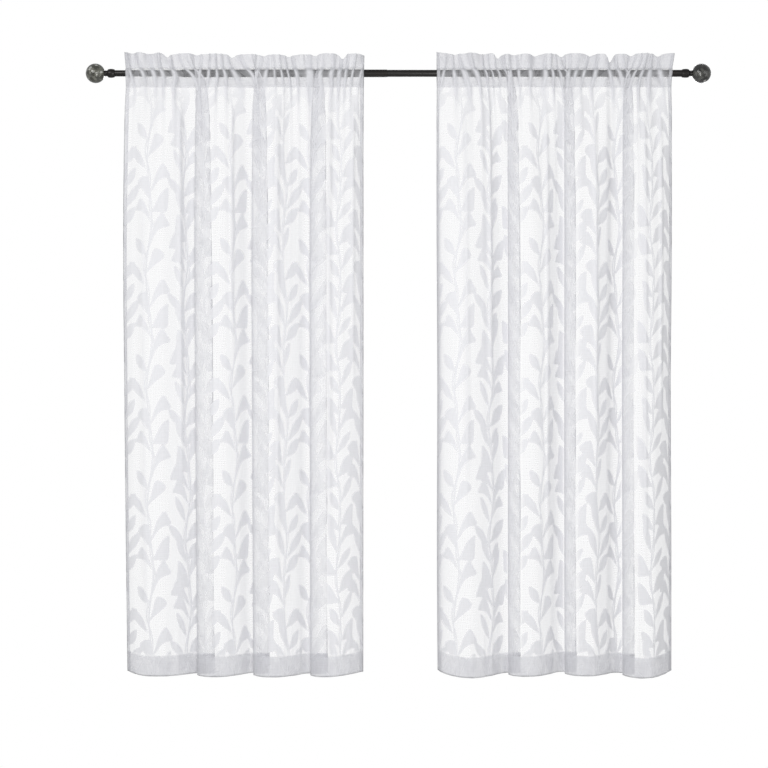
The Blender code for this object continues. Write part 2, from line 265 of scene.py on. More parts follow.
RIGHT = Panel(
    side="right",
    rod_radius=RIGHT_TUBE_RADIUS,
    puckers=31,
    phase=2.3,
    edges=(
        Edge(HEADING_TOP, 0.0975, 0.7085),
        Edge(0.000, 0.0985, 0.7025),
        Edge(-0.100, 0.0985, 0.7040),
        Edge(-0.400, 0.0990, 0.7065),
        Edge(-0.800, 0.1010, 0.7045),
        Edge(-1.250, 0.1000, 0.7060),
        Edge(HEM_BOTTOM, 0.1015, 0.7060),
    ),
    gathers=(
        Gather(0.010, 0.0045, 0.0020),
        Gather(0.146, 0.0035, 0.0020),
        Gather(0.224, 0.0035, -0.0100),
        Gather(0.292, 0.0015, 0.0000),
        Gather(0.369, 0.0015, -0.0025),
        Gather(0.458, 0.0015, -0.0055),
        Gather(0.594, 0.0035, -0.0025),
        Gather(0.700, 0.0015, -0.0180),
        Gather(0.763, 0.0015, -0.0025),
        Gather(0.878, 0.0035, -0.0035),
        Gather(0.992, 0.0025, -0.0010),
    ),
    side_depth=-0.024,
    folds=(
        Fold(0.020, 0.000, 0.105, 0.035, 0.300, 0.038),
        Fold(0.305, 0.032, 0.378, 0.034, 0.535, 0.036),
        Fold(0.545, 0.030, 0.620, 0.035, 0.770, 0.038),
        Fold(0.792, 0.032, 0.872, 0.037, 1.000, 0.024),
    ),
    creases=(
        Crease(0.100, 0.0081, 0.0051, -0.05, -1.20),
        Crease(0.170, 0.0072, 0.0043, -0.05, -0.90),
        Crease(0.430, 0.0081, 0.0051, -0.05, -1.30),
        Crease(0.660, 0.0072, 0.0051, -0.05, -1.10),
        Crease(0.905, 0.0072, 0.0043, -0.05, -1.35),
        Crease(0.955, 0.0063, 0.0051, -0.05, -1.00),
    ),
    lifts=(
        (0.000, 0.0100), (0.050, 0.0035), (0.120, -0.0020), (0.350, 0.0010), (0.690, 0.0020),
        (0.890, -0.0020), (0.955, 0.0020), (1.000, 0.0085),
    ),
)

# How far a leaf's blade reaches on its outer and its inner side, as shares of its width, at
# shares of its length.
Blade = namedtuple("Blade", "along outer inner")
BLADES = {
    "lance": Blade(
        along=[0.00, 0.16, 0.36, 0.56, 0.76, 0.91, 1.00],
        outer=[0.03, 0.13, 0.36, 0.50, 0.41, 0.20, 0.00],
        inner=[0.03, 0.12, 0.34, 0.50, 0.42, 0.21, 0.00],
    ),
    "broad": Blade(
        along=[0.00, 0.14, 0.32, 0.52, 0.72, 0.89, 1.00],
        outer=[0.03, 0.16, 0.44, 0.56, 0.45, 0.20, 0.00],
        inner=[0.03, 0.10, 0.28, 0.44, 0.40, 0.20, 0.00],
    ),
    "hook": Blade(
        along=[0.00, 0.24, 0.46, 0.60, 0.72, 0.86, 0.95, 1.00],
        outer=[0.03, 0.10, 0.20, 0.44, 0.82, 0.46, 0.20, 0.00],
        inner=[0.03, 0.08, 0.15, 0.18, 0.17, 0.14, 0.09, 0.00],
    ),
    "sail": Blade(
        along=[0.00, 0.10, 0.22, 0.34, 0.56, 0.80, 1.00],
        outer=[0.03, 0.30, 0.74, 0.80, 0.56, 0.27, 0.00],
        inner=[0.03, 0.05, 0.08, 0.12, 0.20, 0.16, 0.00],
    ),
    "cup": Blade(
        along=[0.00, 0.20, 0.45, 0.68, 0.86, 0.96, 1.00],
        outer=[0.03, 0.10, 0.28, 0.46, 0.56, 0.38, 0.00],
        inner=[0.03, 0.10, 0.24, 0.38, 0.44, 0.34, 0.00],
    ),
}
BLADE_SAMPLES = 15

# A leaf: its lean from upright in degrees, its length, its width and its bend outwards at the
# tip, in millimetres, and its blade.
Leaf = namedtuple("Leaf", "lean length width bend blade")

LEAF_KINDS = [
    Leaf(33, 84, 21, 3, "lance"),
    Leaf(37, 72, 27, 1, "broad"),
    Leaf(27, 78, 36, 0, "hook"),
    Leaf(20, 86, 18, 2, "lance"),
    Leaf(32, 74, 37, 0, "sail"),
    Leaf(27, 68, 30, -3, "cup"),
    Leaf(40, 66, 23, -5, "broad"),
]

# Where a leaf grows: its stem, its height in the repeat in metres, and its side, -1 for the left.
Joint = namedtuple("Joint", "stem height side leaf")
JOINTS_ON_STEMS = (5, 4, 6, 5)
VINE_SEED = 5

# How unevenly the vine grows: joints' shifts and pairs' steps as shares of their spacing, leans in
# degrees, and sizes.
JOINT_SHIFT = (-0.20, 0.20)
PAIR_STEP = (0.05, 0.50)
LEAN_CHANGE = (-6.0, 6.0)
LEAF_SIZES = (0.84, 1.14)


def grow_vine():
    """Two unlike leaves for every step up a stem, the right one a little higher than the left."""
    shaken = np.random.default_rng(VINE_SEED)
    joints = []
    for stem, count in enumerate(JOINTS_ON_STEMS):
        spacing = REPEAT_HEIGHT / count
        start = shaken.uniform(0.0, spacing)
        for index in range(count):
            height = start + (index + shaken.uniform(*JOINT_SHIFT)) * spacing
            pair = shaken.choice(len(LEAF_KINDS), size=2, replace=False)
            for kind, side in zip(pair, (-1.0, 1.0)):
                leaf = LEAF_KINDS[kind]
                lean = leaf.lean + shaken.uniform(*LEAN_CHANGE)
                size = shaken.uniform(*LEAF_SIZES)
                grown = Leaf(lean, leaf.length * size, leaf.width * size, leaf.bend, leaf.blade)
                joints.append(Joint(stem, height, side, grown))
                height += shaken.uniform(*PAIR_STEP) * spacing
    return joints


def smooth_step(value):
    value = np.clip(value, 0.0, 1.0)
    return value * value * (3.0 - 2.0 * value)


def smooth_between(value, places, values):
    """A smooth curve through the values of a table (cubic Hermite)."""
    places = np.asarray(places, float)
    values = np.asarray(values, float)
    slopes = np.gradient(values, places)
    at = np.clip(value, places[0], places[-1])
    after = np.clip(np.searchsorted(places, at, side="right"), 1, len(places) - 1)
    before = after - 1
    span = places[after] - places[before]
    share = (at - places[before]) / span
    rest = 1.0 - share
    curve = values[before] * (1.0 + 2.0 * share) * rest**2
    curve += values[after] * share**2 * (3.0 - 2.0 * share)
    curve += slopes[before] * span * share * rest**2
    curve -= slopes[after] * span * share**2 * rest
    return curve


def at_height(table, height):
    """A table's row at a height, read smoothly. The heights are the table's first column."""
    heights, *columns = zip(*table)
    depths = HEADING_TOP - np.array(heights)
    down = HEADING_TOP - height
    values = [float(smooth_between(down, depths, column)) for column in columns]
    return table[0]._make([height, *values])


def upper_seam(panel):
    return panel.rod_radius + SEAM_ABOVE_ROD


def gather_wave(panel, across):
    """+1 at the crests of the heading's gathers and -1 halfway between them."""
    crests = [gather.at for gather in panel.gathers]
    first = crests[0] - (crests[1] - crests[0])
    last = crests[-1] + (crests[-1] - crests[-2])
    turns = np.interp(across, [first, *crests, last], range(-1, len(crests) + 1))
    return np.cos(math.tau * turns)


def swayed(panel, across, sway):
    return sway.size * np.sin(math.tau * sway.turns * across + sway.phases * panel.phase)


def pucker_ridges(panel, across, height):
    """The narrow uneven ridges that the pocket's seams draw up, from 0 to about 1."""
    turns = panel.puckers * across
    for sway in PITCH_SWAYS:
        turns += swayed(panel, across, sway)
    leaning = np.clip(height / RIDGE_LEAN_HEIGHT, -1.0, 1.0)
    turns += leaning * swayed(panel, across, LEAN_SWAY)
    sharpness = RIDGE_SHARPNESS * (1.0 + swayed(panel, across, SHARPNESS_SWAY))
    ridges = np.exp(sharpness * (np.cos(math.tau * turns) - 1.0))
    return ridges * (1.0 - RIDGE_SWAY.size + swayed(panel, across, RIDGE_SWAY))


def cloth_run(x, forward):
    return np.concatenate([[0.0], np.cumsum(np.hypot(np.diff(x), np.diff(forward)))])


def fold_knots(panel, width):
    """Points that the folds pass through in plan: place across, and distance forward."""
    first = panel.folds[0]
    knots = [(0.0, panel.side_depth), (first.edge, SIDE_RISE * first.forward)]
    for fold, following in zip(panel.folds, [*panel.folds[1:], None]):
        falls_from = fold.crest + CREST_HALF
        knots.append((fold.crest - CREST_HALF, CREST_START * fold.forward))
        knots.append((falls_from, CREST_END * fold.forward))
        if following:
            knots.append((falls_from + FALL_MIDDLE * (fold.valley - falls_from), 0.0))
            knots.append((fold.valley - VALLEY_SHIFT, -VALLEY_START * fold.back))
            for behind, back in LAP_POINTS:
                place = following.edge + behind * following.lap / width
                knots.append((place, -back * fold.back))
    knots.append(((falls_from + fold.valley) / 2, SIDE_RISE * fold.forward))
    knots.append((fold.valley, -fold.back))
    return np.array(knots)


def layers_over(x):
    """How many layers of the row's cloth lie at the same x as each of its points."""
    edges = np.linspace(x.min() - LAYER_STEP, x.max() + LAYER_STEP, round(np.ptp(x) / LAYER_STEP) + 3)
    middles = (x[1:] + x[:-1]) / 2
    covered, _ = np.histogram(middles, edges, weights=np.abs(np.diff(x)))
    layers = np.convolve(covered / np.diff(edges), [0.25, 0.5, 0.25], mode="same")
    return np.interp(x, (edges[1:] + edges[:-1]) / 2, layers)


@functools.cache
def full_folds(panel):
    """The folds at full depth, evenly along the cloth: place across, distance forward, layers."""
    _, left, right = at_height(panel.edges, HEM_BOTTOM)
    width = right - left
    knots = fold_knots(panel, width)
    chord = cloth_run(knots[:, 0] * width, knots[:, 1])
    along = np.linspace(0.0, chord[-1], CURVE_SAMPLES)
    place = smooth_between(along, chord, knots[:, 0])
    forward = smooth_between(along, chord, knots[:, 1])
    run = cloth_run(place * width, forward)
    even = np.linspace(0.0, run[-1], CURVE_SAMPLES)
    place = np.interp(even, run, place)
    return place, np.interp(even, run, forward), layers_over(place * width)


def crease_rise(panel, share, height, narrowed=1.0):
    """How far forward the soft creases stand at a height."""
    rise = np.zeros_like(share)
    for crease in panel.creases:
        fade_in = smooth_step((crease.top - height) / CREASE_FADE_IN)
        fade_out = smooth_step((height - crease.bottom) / CREASE_FADE_OUT)
        off = (share - crease.at) * CLOTH_WIDTH / (crease.width * narrowed)
        rise += crease.rise * fade_in * fade_out * np.exp(-0.5 * off**2)
    return rise


def heading_rise(panel, across):
    """How far the heading's top edge is above its mean: broad crests with narrow notches."""
    crests, rises, notches = zip(*panel.gathers)
    rise = smooth_between(across, crests, rises)
    for crest, notch, following in zip(crests, notches, [*crests[1:], PAST_SIDE]):
        middle = (crest + following) / 2
        depth = np.interp(middle, crests, rises) - notch
        rise -= depth * np.exp(-(((across - middle) / NOTCH_WIDTH) ** 2))
    return rise


def pocket_stand_off(panel, height):
    """How far a pocket sheet's middle stands off the rod's centre plane: drawn round the rod."""
    reach = panel.rod_radius + ROD_CLEARANCE
    seam = upper_seam(panel) if height > 0 else -LOWER_SEAM
    far = math.hypot(seam, SEAM_STAND_OFF)
    touch = math.atan2(seam, SEAM_STAND_OFF) - math.acos(reach / far)
    if abs(height) < reach * math.sin(touch):
        return math.sqrt(reach**2 - height**2)
    return (seam - abs(height)) * math.tan(touch) + SEAM_STAND_OFF


def stand_off_at(panel, height):
    if height > upper_seam(panel):
        return SEAM_STAND_OFF * math.sqrt(min((HEADING_TOP - height) / TOP_ROUNDING, 1.0))
    if height > LOWER_SEAM:
        return pocket_stand_off(panel, height)
    return SEAM_STAND_OFF * math.exp((height - LOWER_SEAM) / STAND_OFF_FADE)


def row_heights():
    """Heights of the rows of the hanging sheet, closest together from the heading to the pocket."""
    pocket = np.arange(HEADING_TOP, LOWER_SEAM - CLOSE_ROWS_PAST_SEAM, -POCKET_ROW_STEP)
    count = round((pocket[-1] - HEM_BOTTOM) / ROW_STEP)
    return np.concatenate([pocket, np.linspace(pocket[-1], HEM_BOTTOM, count + 1)[1:]])


def cloth_row(panel, height, back, across_cloth):
    """One row at places across the flat cloth: x, y, z, plan normal, lapped and drawn-up shares."""
    share = np.linspace(0.0, 1.0, CURVE_SAMPLES)
    _, left, right = at_height(panel.edges, height)
    level = at_height(LEVELS, height)
    fold_place, fold_forward, fold_layers = full_folds(panel)
    place = share + level.laid * (fold_place - share)
    x = left + place * (right - left)
    lapped = smooth_step((fold_layers - LAPS_START) / LAPS_SPREAD)
    calm = 1.0 - LAP_CALM * lapped
    ridges = pucker_ridges(panel, share, height)
    forward = level.folds * fold_forward
    forward += level.gathers * GATHER_DEPTH * gather_wave(panel, share) * calm
    forward += level.puckers * ridges * calm
    forward += crease_rise(panel, share, height)
    run = cloth_run(x, forward)
    wanted = across_cloth / CLOTH_WIDTH * run[-1]

    stand_off = stand_off_at(panel, height)
    reach = panel.rod_radius + ROD_CLEARANCE
    round_rod = np.clip((stand_off - SEAM_STAND_OFF) / (reach - SEAM_STAND_OFF), 0.0, 1.0)
    side = 1.0 if back else -1.0
    stand_off += round_rod * max((side * forward).max(), 0.0)
    y = side * stand_off - forward
    heading_share = smooth_step((height - panel.rod_radius) / (HEADING_TOP - panel.rod_radius))
    hem_share = smooth_step((LIFT_STARTS - height) / (LIFT_STARTS - HEM_BOTTOM))
    z = height + heading_share * heading_rise(panel, place)
    z += hem_share * smooth_between(place, *zip(*panel.lifts))

    slope_x = np.gradient(x)
    slope_y = np.gradient(y)
    length = np.hypot(slope_x, slope_y)
    drawn_up = RIDGE_DENSITY * ridges * (level.puckers / RIDGE_HEIGHT) ** 2
    creased = CREASE_DENSITY * crease_rise(panel, share, height, CREASE_LINE) / CREASE_HEIGHT
    drawn_up = np.maximum(drawn_up, creased)
    curves = [x, y, z, -slope_y / length, slope_x / length, lapped * level.folds, drawn_up]
    return np.column_stack([np.interp(wanted, run, curve) for curve in curves])


def stem_phase(across, up):
    """Counts the vine's stems across the flat cloth: a stem stands at each whole number."""
    uneven = STEM_UNEVEN * np.sin(math.tau * across / REPEAT_WIDTH + STEM_START)
    sway = STEM_SWAY * np.sin(math.tau * (up / REPEAT_HEIGHT + across / REPEAT_WIDTH))
    return across / STEM_PITCH + uneven + sway


def twin_phase(across, up):
    """Counts the thin second stems, which wind round the first ones."""
    winding = np.sin(math.tau * (2 * up / REPEAT_HEIGHT - across / REPEAT_WIDTH) + TWIN_START)
    return stem_phase(across, up) + TWIN_SWAY * winding


def stem_place(stem, up):
    """Where a stem stands across the cloth at a height, found by repeated correction."""
    across = stem * STEM_PITCH
    for _ in range(STEM_CORRECTIONS):
        across += (stem - stem_phase(across, up)) * STEM_PITCH
    return across


def wrapped(value, size):
    return (value + size / 2) % size - size / 2


def leaf_outline(leaf):
    """The leaf's outline, up its outer side and down its inner one: along and outwards, metres."""
    blade = BLADES[leaf.blade]
    shares = np.linspace(0.0, 1.0, BLADE_SAMPLES)
    middle = leaf.bend * shares**2
    outer = middle + leaf.width * smooth_between(shares, blade.along, blade.outer)
    inner = middle - leaf.width * smooth_between(shares, blade.along, blade.inner)
    along = np.concatenate([shares, shares[::-1]]) * leaf.length
    outward = np.concatenate([outer, inner[::-1]])
    return np.column_stack([along, outward]) / 1000.0


def depth_inside(outline, along, outward):
    """How far inside a closed outline each place is, negative outside it."""
    nearest = np.full_like(along, np.inf)
    inside = np.zeros(along.shape, bool)
    for start, end in zip(outline, np.roll(outline, -1, axis=0)):
        edge = end - start
        length = max(math.hypot(*edge), 1e-9)
        from_along = along - start[0]
        from_out = outward - start[1]
        share = np.clip((from_along * edge[0] + from_out * edge[1]) / length**2, 0.0, 1.0)
        off_edge = np.hypot(from_along - share * edge[0], from_out - share * edge[1])
        nearest = np.minimum(nearest, off_edge)
        if start[1] != end[1]:
            crossing = start[0] + from_out * edge[0] / edge[1]
            inside ^= ((start[1] > outward) != (end[1] > outward)) & (along < crossing)
    return np.where(inside, nearest, -nearest)


def leaf_field(across, up):
    """How far inside the nearest leaf each place of the flat cloth is, in metres."""
    field = np.full_like(across, -1.0)
    for joint in grow_vine():
        base = stem_place(joint.stem, joint.height)
        leaf = joint.leaf
        lean = math.radians(leaf.lean)
        length = leaf.length / 1000.0
        aim_across = joint.side * math.sin(lean)
        aim_up = math.cos(lean)
        from_across = wrapped(across - base - aim_across * length / 2, REPEAT_WIDTH)
        from_up = wrapped(up - joint.height - aim_up * length / 2, REPEAT_HEIGHT)
        near = np.hypot(from_across, from_up) < length
        along = from_across[near] * aim_across + from_up[near] * aim_up + length / 2
        outward = joint.side * (from_across[near] * aim_up - from_up[near] * aim_across)
        depth = depth_inside(leaf_outline(leaf), along, outward)
        field[near] = np.maximum(field[near], depth)
    return field


def new_object(name, data):
    made = bpy.data.objects.new(name, data)
    bpy.context.scene.collection.objects.link(made)
    return made


def shaped_mesh(name, create, **settings):
    """A new mesh, made by one of bmesh's own shapes."""
    shape = bmesh.new()
    create(shape, **settings)
    mesh = bpy.data.meshes.new(name)
    shape.to_mesh(mesh)
    shape.free()
    return mesh


def smooth_object(mesh, material):
    mesh.shade_smooth()
    mesh.update()
    mesh.materials.append(material)
    return new_object(mesh.name, mesh)


def vertex_places(mesh):
    places = np.empty(len(mesh.vertices) * 3, np.float32)
    mesh.vertices.foreach_get("co", places)
    return places.reshape(-1, 3)


def set_places(mesh, places):
    mesh.vertices.foreach_set("co", places.astype(np.float32).ravel())


def add_field(mesh, name, values):
    attribute = mesh.attributes.new(name, "FLOAT", "POINT")
    attribute.data.foreach_set("value", values.astype(np.float32))


def grid_piece(name, points, flat, fields, material):
    """A grid of cloth. It gets its flat coordinates as a UV map and each field as an attribute."""
    rows, columns = points.shape[:2]
    steps = {"x_segments": columns - 1, "y_segments": rows - 1}
    mesh = shaped_mesh(name, bmesh.ops.create_grid, size=1.0, **steps)
    places = vertex_places(mesh)
    column = np.rint((places[:, 0] + 1.0) / 2.0 * (columns - 1)).astype(int)
    row = np.rint((1.0 - places[:, 1]) / 2.0 * (rows - 1)).astype(int)
    set_places(mesh, points[row, column])
    corner_vertex = np.empty(len(mesh.loops), np.int32)
    mesh.loops.foreach_get("vertex_index", corner_vertex)
    chart = mesh.uv_layers.new(name="flat_cloth")
    corner_flat = flat[row, column][corner_vertex].astype(np.float32)
    chart.data.foreach_set("uv", corner_flat.ravel())
    for field_name, values in fields.items():
        add_field(mesh, field_name, values[row, column])
    return smooth_object(mesh, material)


def cloth_columns():
    """Places across the flat cloth, running on past both sides for the turned-back hems."""
    inner = np.linspace(0.0, CLOTH_WIDTH, round(CLOTH_WIDTH / COLUMN_STEP) + 1)
    turned = np.linspace(0.0, SIDE_HEM, SIDE_HEM_COLUMNS + 1)[1:]
    return np.concatenate([-turned[::-1], inner, CLOTH_WIDTH + turned])


def density(rows, columns):
    """How dense the cloth looks: up to 1 on steep flanks and gathers, and less in the laps."""
    slant = 1.0 / np.maximum(np.abs(rows[:, :, 4]), STEEPEST)
    steep = 1.0 - OPENNESS ** (slant - 1.0)
    drawn_up = np.clip(rows[:, :, 6], 0.0, 1.0)
    in_hem = (columns < SIDE_HEM) | (columns > CLOTH_WIDTH - SIDE_HEM)
    dense = np.maximum(np.maximum(steep, drawn_up), np.where(in_hem, HEM_DENSITY, 0.0))
    return dense - LAP_THINNING * rows[:, :, 5]


def hung_points(panel, heights, back, columns):
    """A hung sheet with its side hems turned behind it: points, normals, density and laps."""
    mirrored = np.abs(columns)
    mirrored = np.where(columns > CLOTH_WIDTH, 2.0 * CLOTH_WIDTH - columns, mirrored)
    beyond = np.maximum(-columns, columns - CLOTH_WIDTH)
    behind = HEM_LAYER * np.sqrt(np.clip(beyond / HEM_TURN, 0.0, 1.0))
    rows = np.array([cloth_row(panel, height, back, mirrored) for height in heights])
    points = rows[:, :, :3].copy()
    normals = rows[:, :, 3:5]
    points[:, :, :2] += normals * behind[:, None]
    return points, normals, density(rows, columns), rows[:, :, 5]


def run_down(points):
    """Metres of cloth from the first row down to each row, along the middle column."""
    return cloth_run(*points[:, points.shape[1] // 2, 1:].T)


def motif_fields(flat, heights):
    across = flat[:, :, 0]
    up = -flat[:, :, 1]
    clear = [[at_height(LEVELS, height).motif] for height in heights]
    return {
        "leaf": leaf_field(across, up) * 1000.0,
        "stem": stem_phase(across, up),
        "twin": twin_phase(across, up),
        "clear": clear * np.ones_like(across),
    }


def doubled_density(panel, heights):
    """How much denser the sheet looks where it is doubled, and along its seams."""
    above_rod = heights > upper_seam(panel)
    below_rod = (heights > LOWER_SEAM) & (heights < -upper_seam(panel))
    dense = np.where(above_rod | below_rod, HEADING_DENSITY, NOT_DOUBLED)
    dense[heights < HEM_TOP] = HEM_DENSITY
    for seam in (upper_seam(panel), LOWER_SEAM, HEM_TOP - IN_FROM_SEAM):
        dense[np.abs(heights - seam) < SEAM_HALF_WIDTH] = SEAM_DENSITY
    return dense


def hanging_sheet(panel, material):
    """The sheet from the heading's top down the front of the rod, with its hem turned up behind."""
    heights = row_heights()
    columns = cloth_columns()
    points, normals, dense, lapped = hung_points(panel, heights, False, columns)
    down = run_down(points)
    hem_rows = round(HEM_DEPTH / ROW_STEP)
    upwards = slice(-2, -2 - hem_rows, -1)
    dense = np.maximum(dense, doubled_density(panel, heights)[:, None])
    turned_up = points[upwards].copy()
    behind = BOTTOM_HEM_LAYER * np.minimum(np.arange(1, hem_rows + 1) / HEM_TURN_ROWS, 1.0)
    turned_up[:, :, :2] += normals[upwards] * behind[:, None, None]
    points = np.concatenate([points, turned_up])
    dense = np.concatenate([dense, dense[upwards]])
    steps = np.diff(down)[::-1][:hem_rows]
    down = np.concatenate([down, down[-1] + np.cumsum(steps)])
    flat = np.stack(np.meshgrid(columns, down), axis=-1)
    fields = motif_fields(flat, [*heights, *heights[upwards]])
    fields["dense"] = dense
    fields["clear"][-1 - 2 * hem_rows :] *= HEM_MOTIF
    fields["clear"][: len(heights)] *= 1.0 - LAP_FADE * lapped
    piece = grid_piece(f"panel_{panel.side}", points, flat, fields, material)
    return piece, points, flat


def turned_heading(panel, material):
    """The cloth turned over the heading's top and brought down behind the rod to the lower seam."""
    heights = row_heights()
    heights = heights[heights > LOWER_SEAM - POCKET_ROW_STEP]
    columns = cloth_columns()
    points, _, dense, _ = hung_points(panel, heights, True, columns)
    down = -run_down(points)
    flat = np.stack(np.meshgrid(columns, down), axis=-1)
    fields = motif_fields(flat, heights)
    fields["dense"] = dense
    return grid_piece(f"heading_back_{panel.side}", points, flat, fields, material)


# Stitches, metres. A seam's stitches run a little inside its edge.
STITCH_PITCH = 0.0032
STITCH_LENGTH = 0.0023
STITCH_RADIUS = 0.00028
SEAM_SAMPLES = 3000
DEPTH_WAYS = Vector((0.0, 1.0, 0.0))
UPWARDS = Vector((0.0, 0.0, 1.0))
NEARLY_PARALLEL = 0.1
IN_FROM_SEAM = 0.0010
IN_FROM_HEM = 0.0020
IN_FROM_SIDE_HEM = 0.0015


def on_sheet(points, row, column):
    """A point of the sheet between the grid's rows and columns."""
    top = int(row)
    left = int(column)
    down = row - top
    along = column - left
    upper = points[top, left] * (1 - along) + points[top, left + 1] * along
    lower = points[top + 1, left] * (1 - along) + points[top + 1, left + 1] * along
    return upper * (1 - down) + lower * down


def stitch_line(points, start, end):
    """Heads and tails of the stitches between two (row, column) places of the sheet."""
    places = np.linspace(start, end, SEAM_SAMPLES)
    path = np.array([on_sheet(points, row, column) for row, column in places])
    run = np.concatenate([[0.0], np.cumsum(np.linalg.norm(np.diff(path, axis=0), axis=1))])
    middles = np.arange(STITCH_PITCH / 2, run[-1], STITCH_PITCH)
    ends = [middles - STITCH_LENGTH / 2, middles + STITCH_LENGTH / 2]
    return [np.column_stack([np.interp(at, run, axis) for axis in path.T]) for at in ends]


def stitches(name, lines, material):
    """Every stitch of a panel as one joined mesh of small spindles."""
    verts = []
    faces = []
    for heads, tails in lines:
        for head, tail in zip(heads, tails):
            aim = Vector(tail - head)
            aim.normalize()
            side = aim.cross(DEPTH_WAYS)
            if side.length < NEARLY_PARALLEL:
                side = aim.cross(UPWARDS)
            side.normalize()
            third = aim.cross(side)
            middle = Vector((head + tail) / 2)
            first = len(verts)
            ring = [side, third, -side, -third]
            verts += [Vector(head), Vector(tail)]
            verts += [middle + direction * STITCH_RADIUS for direction in ring]
            for step in range(4):
                here = first + 2 + step
                there = first + 2 + (step + 1) % 4
                faces += [(first, here, there), (first + 1, there, here)]
    mesh = bpy.data.meshes.new(name)
    mesh.from_pydata(verts, [], faces)
    return smooth_object(mesh, material)


# Materials.


class Nodes:
    """Short calls for building one material's node tree."""

    def __init__(self, name):
        self.material = bpy.data.materials.new(name)
        self.material.use_nodes = True
        self.tree = self.material.node_tree
        self.shader = self.tree.nodes["Principled BSDF"]

    def add(self, kind, **settings):
        node = self.tree.nodes.new(kind)
        for key, value in settings.items():
            setattr(node, key, value)
        return node

    def feed(self, socket, value):
        if isinstance(value, bpy.types.NodeSocket):
            self.tree.links.new(value, socket)
        else:
            socket.default_value = value

    def fill(self, node, settings):
        for name, value in settings.items():
            self.feed(node.inputs[name], value)

    def math(self, operation, *values, clamp=False):
        node = self.add("ShaderNodeMath", operation=operation, use_clamp=clamp)
        for socket, value in zip(node.inputs, values):
            self.feed(socket, value)
        return node.outputs[0]

    def ramp(self, value, low, high, to_low=0.0, to_high=1.0):
        node = self.add("ShaderNodeMapRange", interpolation_type="SMOOTHSTEP", clamp=True)
        for socket, given in zip(node.inputs, (value, low, high, to_low, to_high)):
            self.feed(socket, given)
        return node.outputs[0]

    def mix(self, share, first, second):
        change = self.math("MULTIPLY", share, self.math("SUBTRACT", second, first))
        return self.math("ADD", first, change)

    def colour(self, share, first, second):
        node = self.add("ShaderNodeMix", data_type="RGBA")
        self.feed(node.inputs["Factor"], share)
        for name, given in (("A", first), ("B", second)):
            linked = isinstance(given, bpy.types.NodeSocket)
            self.feed(node.inputs[name], given if linked else (*given, 1.0))
        return node.outputs["Result"]

    def attribute(self, name):
        return self.add("ShaderNodeAttribute", attribute_name=name).outputs["Fac"]

    def noise(self, vector, scale, detail=2.0, stretch=(1.0, 1.0, 1.0)):
        place = self.add("ShaderNodeMapping")
        self.fill(place, {"Vector": vector, "Scale": stretch})
        node = self.add("ShaderNodeTexNoise")
        self.fill(node, {"Vector": place.outputs[0], "Scale": scale, "Detail": detail})
        return node.outputs["Fac"]

    def bump(self, height, distance, strength=1.0):
        node = self.add("ShaderNodeBump")
        self.fill(node, {"Height": height, "Distance": distance, "Strength": strength})
        self.fill(self.shader, {"Normal": node.outputs["Normal"]})


GROUND_COLOUR = (0.835, 0.835, 0.865)
LEAF_COLOUR = (0.875, 0.875, 0.905)
GROUND_COVER = 0.24
LEAF_COVER = 0.82
FLANK_COVER = 0.95
GROUND_ROUGHNESS = 0.85
LEAF_ROUGHNESS = 0.55
YARN_SCALE = 620.0
YARN_STRETCH = 0.035
YARN_UNEVENNESS = 0.17


def voile():
    """White voile: a sheer ground with a denser woven vine, and fine uneven yarns."""
    made = Nodes("white_voile")
    flat = made.add("ShaderNodeUVMap", uv_map="flat_cloth").outputs["UV"]
    leaf = made.ramp(made.attribute("leaf"), -EDGE_SOFTNESS * 1000, EDGE_SOFTNESS * 1000)

    def line(name, width):
        off = made.math("MULTIPLY", made.math("PINGPONG", made.attribute(name), 0.5), STEM_PITCH)
        return made.ramp(off, width + EDGE_SOFTNESS, width - EDGE_SOFTNESS / 2)

    stems = made.math("MAXIMUM", line("stem", STEM_WIDTH), line("twin", TWIN_WIDTH))
    motif = made.math("MULTIPLY", made.math("MAXIMUM", leaf, stems), made.attribute("clear"))
    warp = made.noise(flat, YARN_SCALE, 1.0, (1.0, YARN_STRETCH, 1.0))
    weft = made.noise(flat, YARN_SCALE, 1.0, (YARN_STRETCH, 1.0, 1.0))
    yarn = made.math("ADD", warp, weft)
    cover = made.mix(motif, GROUND_COVER, LEAF_COVER)
    cover = made.mix(made.attribute("dense"), cover, FLANK_COVER)
    uneven = made.math("MULTIPLY", made.math("SUBTRACT", yarn, 1.0), YARN_UNEVENNESS)
    made.fill(made.shader, {
        "Alpha": made.math("ADD", cover, uneven, clamp=True),
        "Base Color": made.colour(motif, GROUND_COLOUR, LEAF_COLOUR),
        "Roughness": made.mix(motif, GROUND_ROUGHNESS, LEAF_ROUGHNESS),
        "Sheen Weight": 0.15,
        "Sheen Roughness": 0.4,
    })
    raised = made.math("ADD", made.math("MULTIPLY", motif, 0.6), made.math("MULTIPLY", yarn, 0.5))
    made.bump(raised, 0.00025, 0.6)
    return made.material


def thread():
    made = Nodes("white_thread")
    place = made.add("ShaderNodeTexCoord").outputs["Object"]
    twist = made.noise(place, 900.0, 1.0)
    colour = made.colour(twist, (0.62, 0.62, 0.65), (0.88, 0.88, 0.91))
    made.fill(made.shader, {"Base Color": colour, "Roughness": 0.5})
    made.bump(twist, 0.0001)
    return made.material


